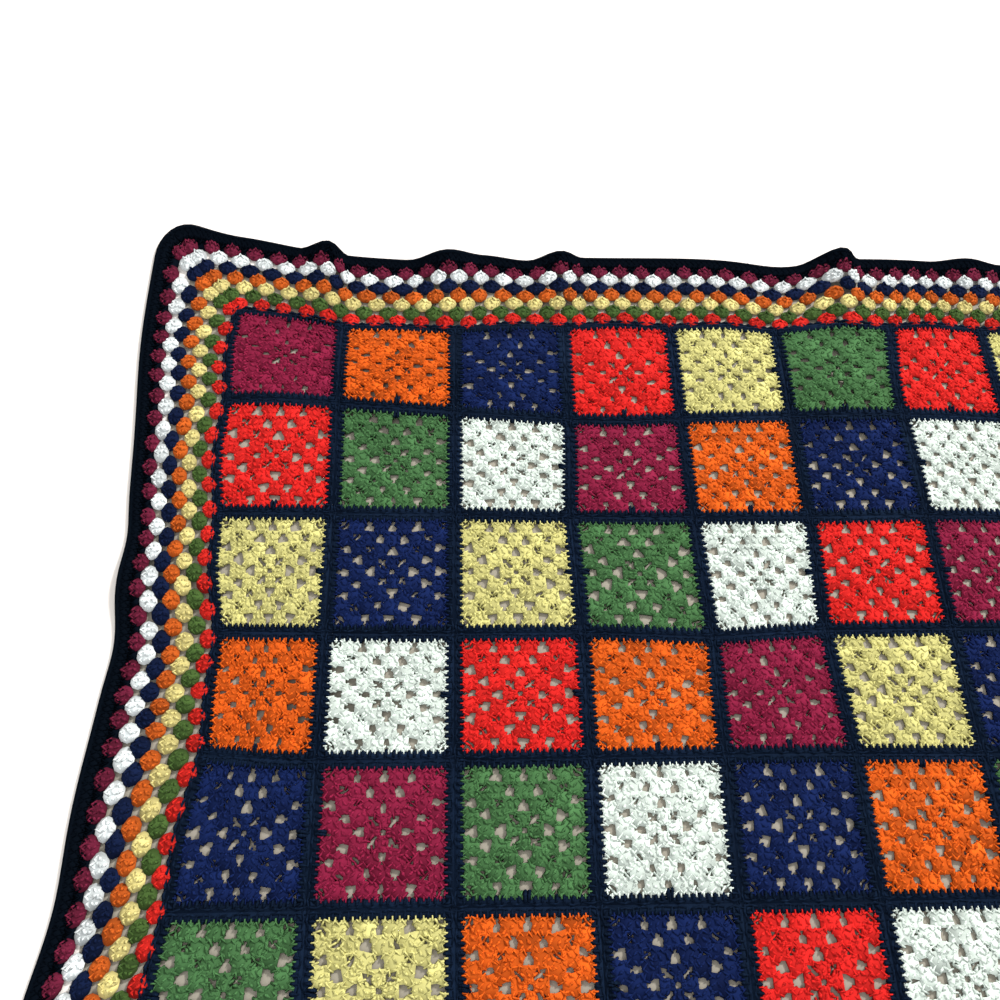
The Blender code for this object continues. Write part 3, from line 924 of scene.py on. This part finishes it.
dark_parts = [
    edge_strokes(LEG, along_side(TEETH, TOOTH_SPAN), LEG_BAND),
    edge_strokes(LOOP, along_side(LOOPS, LOOP_SPAN), LOOP_BAND, unevenness=0.6 * MM),
]
turn_line = np.array(TURN) * MM
turn = np.broadcast_to(turn_line[:, :2] + EDGE, (squares, 4, 3, 2))
turn = at_height(turned_to_sides(turn).reshape(-1, 3, 2), turn_line[:, 2])
turn_cells = random_cells(len(turn))
dark_parts.append(tubes(turn, TURN_HALF_WIDTH, TURN_HALF_HEIGHT, TURN_BAND, turn_cells))
# a dark notch in one side of each square shows where its dark round begins and ends
notch_side = np.tile(np.repeat(np.arange(4), len(NOTCH_AT)), squares)
mine = notch_side == np.repeat(rng.integers(0, 4, squares), 4 * len(NOTCH_AT))
dark_parts.append(picked(edge_strokes(NOTCH, NOTCH_AT, LEG_BAND), mine))
point_span = TOOTH_SPAN * (1 - 1 / (TEETH - 1))
points = edge_strokes(POINT, along_side(TEETH - 1, point_span), POINT_BAND)
square_of_point = np.repeat(np.arange(squares), 4 * (TEETH - 1))
print(len(dark_parts[0]["cell"]), "legs,", len(points["cell"]), "points")

# %% One piece for each colour of square
for name in SQUARE_YARNS:
    mine = square_yarn == name
    parts = [picked(part, mine[square_of_treble]) for part in square_trebles]
    parts += [picked(corner_chains, mine[square_of_chain]), picked(rings, mine)]
    parts += [picked(points, mine[square_of_point])]
    piece = make_piece("squares_" + name, parts, [finishes[name]])

# %% [markdown]
# ## The row round all the squares
#
# The joined squares get one more dark row before the border, so that its first clusters have an even
# edge to start from. It shows as a chain of plump strokes, end to end. It could be one thick cord,
# but then it would lose its small beads. It is part of the same piece as the joins.

# %% The outermost dark row, and the piece of all dark joins
ROW_OUT = 1.6 * MM  # from the field's edge
ROW_COUNTS = (140, 112)  # strokes on a long side and on a short one
ROW_GAP = 4.0 * MM  # from a corner's diagonal to the first stroke
# along the row, outwards, height
ROW_LINE = [(-4.3, -0.6, 1.8), (0.0, 0.5, 3.4), (4.3, -0.6, 1.8)]
ROW_HALF_WIDTH, ROW_HALF_HEIGHT = 2.2 * MM, 1.6 * MM

row_place, row_outward = ring_places(ROW_OUT, *ROW_COUNTS, ROW_GAP)
row_across = quarter_turned(row_outward, 1)
row_line = np.array(ROW_LINE) * MM
row_path = row_place[:, None] + row_across[:, None] * row_line[:, :1]
row_path = row_path + row_outward[:, None] * row_line[:, 1:2]
row_path = at_height(row_path, row_line[:, 2])
row_cells = random_cells(len(row_path))
dark_parts.append(tubes(row_path, ROW_HALF_WIDTH, ROW_HALF_HEIGHT, ROW_BAND, row_cells))
dark_joins = make_piece("dark_joins", dark_parts, [finishes["dark"]])

# %% [markdown]
# ## The border of cluster rounds
#
# Seven rounds of three-treble clusters go round the joined squares, each in another yarn.
# With nothing beside them to hold them down, these clusters puff up into round knobs, wider than the gap
# they are worked into. Every round has one cluster more on each side, so the clusters of one round
# sit between those of the next. Two clusters share each corner and fan out round it.

# %% Where a round's clusters stand
BORDER_YARNS = ("red", "green", "yellow", "orange", "navy", "white", "burgundy")
LONG_COUNT, SHORT_COUNT = 47, 39  # clusters on a side of the first round
CORNER_GAP = 7.0 * MM  # from a corner's diagonal to the cluster on each side of it
CLUSTER_FOOT, CLUSTER_HEAD = 6.8 * MM, 7.2 * MM  # from the round's middle line
CLUSTER_FOOT_STEP, CLUSTER_HEAD_STEP = 4.3 * MM, 5.2 * MM
FOOT_DOME, HEAD_DOME = 2.0 * MM, 2.6 * MM  # how much shorter the outer trebles are at each end
PUFF = 1.3  # how much higher the middle treble stands, in mm
TREBLE_FOOT_HALF, TREBLE_HEAD_HALF = 2.3 * MM, 3.0 * MM  # half widths of a border treble
TREBLE_THICK = 1.19  # its yarn fluffs up to so many times a strand's thickness
# how far whole clusters stray along the round and outwards, and single heads either way
CLUSTER_ALONG, CLUSTER_OUT, CLUSTER_HEAD_JITTER = 0.7 * MM, 0.4 * MM, 0.3 * MM
CLUSTER_WIDTH_SPREAD = 0.05  # share by which the clusters' widths vary
FULL_ROUNDS = {"navy": 1.12, "white": 1.06}  # these rounds close up most


def border_clusters(index):
    """Feet and heads of one round's trebles, (clusters, 3, 2) each, and of its clusters, (clusters, 2):
    places of the round, moved in and out along its outward way, and sideways for the outer trebles."""
    out = (index + 0.5) * ROUND
    place, outward = ring_places(out, LONG_COUNT + index, SHORT_COUNT + index, CORNER_GAP)
    across = quarter_turned(outward, 1)
    count = len(place)
    place = place + across * rng.normal(0, CLUSTER_ALONG, (count, 1))
    place = place + outward * rng.normal(0, CLUSTER_OUT, (count, 1))
    foot_low = place - outward * CLUSTER_FOOT
    head_high = place + outward * CLUSTER_HEAD
    spread_out = across[:, None] * TREBLE_AT[:, None]
    wide = 1 + rng.normal(0, CLUSTER_WIDTH_SPREAD, (count, 1, 1))
    feet = foot_low[:, None] + spread_out * CLUSTER_FOOT_STEP * wide
    feet = feet + outward[:, None] * FOOT_DOME * np.abs(TREBLE_AT)[:, None]
    heads = head_high[:, None] + spread_out * CLUSTER_HEAD_STEP * wide
    heads = heads - outward[:, None] * HEAD_DOME * np.abs(TREBLE_AT)[:, None]
    heads = heads + rng.normal(0, CLUSTER_HEAD_JITTER, heads.shape)
    return feet, heads, foot_low, head_high


print("first round:", LONG_COUNT, "clusters on a long side,", SHORT_COUNT, "on a short one")

# %% One piece for each round
round_pieces, round_cores = [], []
for index, name in enumerate(BORDER_YARNS):
    feet, heads, foot_low, head_high = border_clusters(index)
    puffed = np.tile(PUFF * (1 - np.abs(TREBLE_AT)), len(feet))
    feet, heads = feet.reshape(-1, 2), heads.reshape(-1, 2)
    foot_half, head_half = np.full(len(feet), TREBLE_FOOT_HALF), np.full(len(feet), TREBLE_HEAD_HALF)
    trebles = treble(feet, heads, foot_half, head_half, thickness=TREBLE_THICK, raised=puffed)
    piece = make_piece("round_" + name, trebles, [finishes[name + "_border"]])
    round_pieces.append(piece)
    round_cores.append((name, foot_low, head_high))

# %% [markdown]
# ## The dark edging
#
# Four rounds of tight short stitches close the blanket, the first of them worked between the last
# clusters. Each stitch shows as a small V, and together they make a dense band, thicker than the
# clusters, that the ruffles pull into waves. The last round's chain lies along the outside and gives
# the blanket its smooth soft rim. A plain band would be lighter, but its edge would look cut.

# %% Edging stitches
V_PITCH = 6.0 * MM
V_ROUNDS = (-2.2, 2.6, 7.4, 11.9)  # each round's middle, in mm from the clusters
# along the edge, outwards, height, thickness share
V_LINE = [(-2.4, 2.3, 2.9, 0.9), (0.0, -2.3, 3.2, 1.0), (2.4, 2.3, 2.9, 0.9)]
V_HALF_WIDTH, V_HALF_HEIGHT, V_JITTER = 1.5 * MM, 1.2 * MM, 0.15 * MM
RIM_HALF = 2.3 * MM  # half thickness of the smooth outermost chain
RIM_COUNTS = (170, 140)  # its stations on a long side and on a short one

edging_parts = []
for middle_out in V_ROUNDS:
    out = BORDER + middle_out * MM
    counts = [round(2 * (half + out) / V_PITCH) for half in (LENGTH / 2, WIDTH / 2)]
    place, outward = ring_places(out, *counts, V_PITCH / 2)
    across = quarter_turned(outward, 1)
    along, away, height, thick = np.array(V_LINE).T
    path = place[:, None] + across[:, None] * along[:, None] * MM
    path = path + outward[:, None] * away[:, None] * MM
    path = at_height(path, height * MM)
    path = path + rng.normal(0, V_JITTER, path.shape)
    half_width, half_height = V_HALF_WIDTH * thick, V_HALF_HEIGHT * thick
    edging_parts.append(tubes(path, half_width, half_height, LEG_BAND, random_cells(len(path))))
rim = at_height(ring_places(REACH - RIM_HALF, *RIM_COUNTS)[0], RIM_HALF)[None]
edging_parts.append(tubes(rim, RIM_HALF, RIM_HALF, RING_BAND, random_cells(1), sides=8, closed=True))
edging = make_piece("dark_edging_stitches", edging_parts, [finishes["edging"]])

# %% [markdown]
# ## The ground of the cloth
#
# Behind the strands that show, each stitch has more yarn. Modelling it strand by strand would double
# the mesh for nothing, so one thin piece stands for it: a flat slab or a low dome behind each cluster
# and a band behind each dark round. It is the blanket's sheet: everything else lies on it, and its
# holes are the crochet's holes.

# %% Cores of clusters
CORE_ROUND_ONE = 2.4 * MM  # half width of a core's foot on the ring
# how far a core reaches past the middles of its outer trebles, and past their heads
CORE_FOOT_OVER, CORE_HEAD_OVER, CORE_PAST_HEAD = 1.9 * MM, 2.9 * MM, 0.2 * MM
names = list(finishes)


def ground_band(name, half=0):
    """Each yarn has its own strip of the ground's map, in two halves for two kinds of part."""
    strip = names.index(name) + 0.5 * half
    return ((strip + 0.05) / len(names), (strip + 0.45) / len(names))


core_foot = turned_to_sides(np.stack([foot_x[..., 1], foot_y[..., 1]], axis=-1)).reshape(-1, 2)
core_head_y = head_y[..., 1] + CORE_PAST_HEAD
core_head_x = np.broadcast_to(head_mid[:, 0], core_head_y.shape) + wander[..., 0]
core_head_x = core_head_x + CORNER_DRAW * (1.0 * starts - stops)
core_head = turned_to_sides(np.stack([core_head_x, core_head_y], axis=-1)).reshape(-1, 2)
core_foot_half = np.where(number == 1, CORE_ROUND_ONE, foot_step[..., 0] + CORE_FOOT_OVER)
core_foot_half = np.broadcast_to(core_foot_half, shape[:3]).ravel()
core_head_half = head_step + CORE_HEAD_OVER - CORNER_DRAW * (starts | stops)
core_head_half = np.broadcast_to(core_head_half, shape[:3]).ravel()
cores = (core_foot, core_head, core_foot_half, core_head_half)
square_of_core = np.repeat(np.arange(squares), 4 * len(number))
ground = []
for name in SQUARE_YARNS:
    mine = (square_yarn == name)[square_of_core]
    part = core(*[values[mine] for values in cores], ground_band(name))
    ground.append({**part, "finish": names.index(name)})
for name, foot_low, head_high in round_cores:
    part = knob(foot_low, head_high, ground_band(name + "_border"), FULL_ROUNDS.get(name, 1.0))
    ground.append({**part, "finish": names.index(name + "_border")})
print(sum(len(part["cell"]) for part in ground), "cores")

# %% Bands behind the dark rounds and under the edging
# each band's half width and half height
JOIN_BAND, OUTER_BAND, INNER_BAND = (4.9 * MM, 1.8 * MM), (7.4 * MM, 1.8 * MM), (8.8 * MM, 1.1 * MM)
JOIN_BAND_LIFT = 1.5 * MM
JOIN_BAND_SPREAD = 0.12  # mm that its height varies by, so that no two faces lie in one plane
INNER_IN = 4.2 * MM  # the inner band's middle, from the clusters' outer edge inwards
BAND_COUNTS = (120, 100)  # stations on a long side and on a short one

band_x = np.linspace(-JOIN, JOIN, 3)
band = np.stack([band_x, np.full(3, (EDGE + JOIN) / 2)], axis=-1)
band = turned_to_sides(np.broadcast_to(band, (squares, 4) + band.shape)).reshape(-1, 3, 2)
varied = rng.uniform(-JOIN_BAND_SPREAD, JOIN_BAND_SPREAD, (len(band), 1)) * MM
band = at_height(band, JOIN_BAND_LIFT + varied)
# painted shade: the band's underside is painted darker
part = tubes(band, *JOIN_BAND, ground_band("dark"), random_cells(len(band)), sides=4, low=0.5)
ground.append({**part, "finish": names.index("dark")})

outer_band = (BORDER + EDGING / 2, OUTER_BAND, 6, 0)
inner_band = (BORDER - INNER_IN, INNER_BAND, 4, 1)
for out, half, sides, strip_half in (outer_band, inner_band):
    ring = at_height(ring_places(out, *BAND_COUNTS)[0], half[1])[None]
    strip = ground_band("edging", strip_half)
    part = tubes(ring, *half, strip, random_cells(1), sides=sides, closed=True)
    ground.append({**part, "finish": names.index("edging")})
blanket_ground = make_piece("blanket_ground", ground, list(finishes.values()))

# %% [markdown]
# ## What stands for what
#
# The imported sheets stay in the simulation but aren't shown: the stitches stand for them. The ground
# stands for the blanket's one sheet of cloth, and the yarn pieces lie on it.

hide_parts("squares_panel")
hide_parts("cluster_border")
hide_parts("dark_edging")
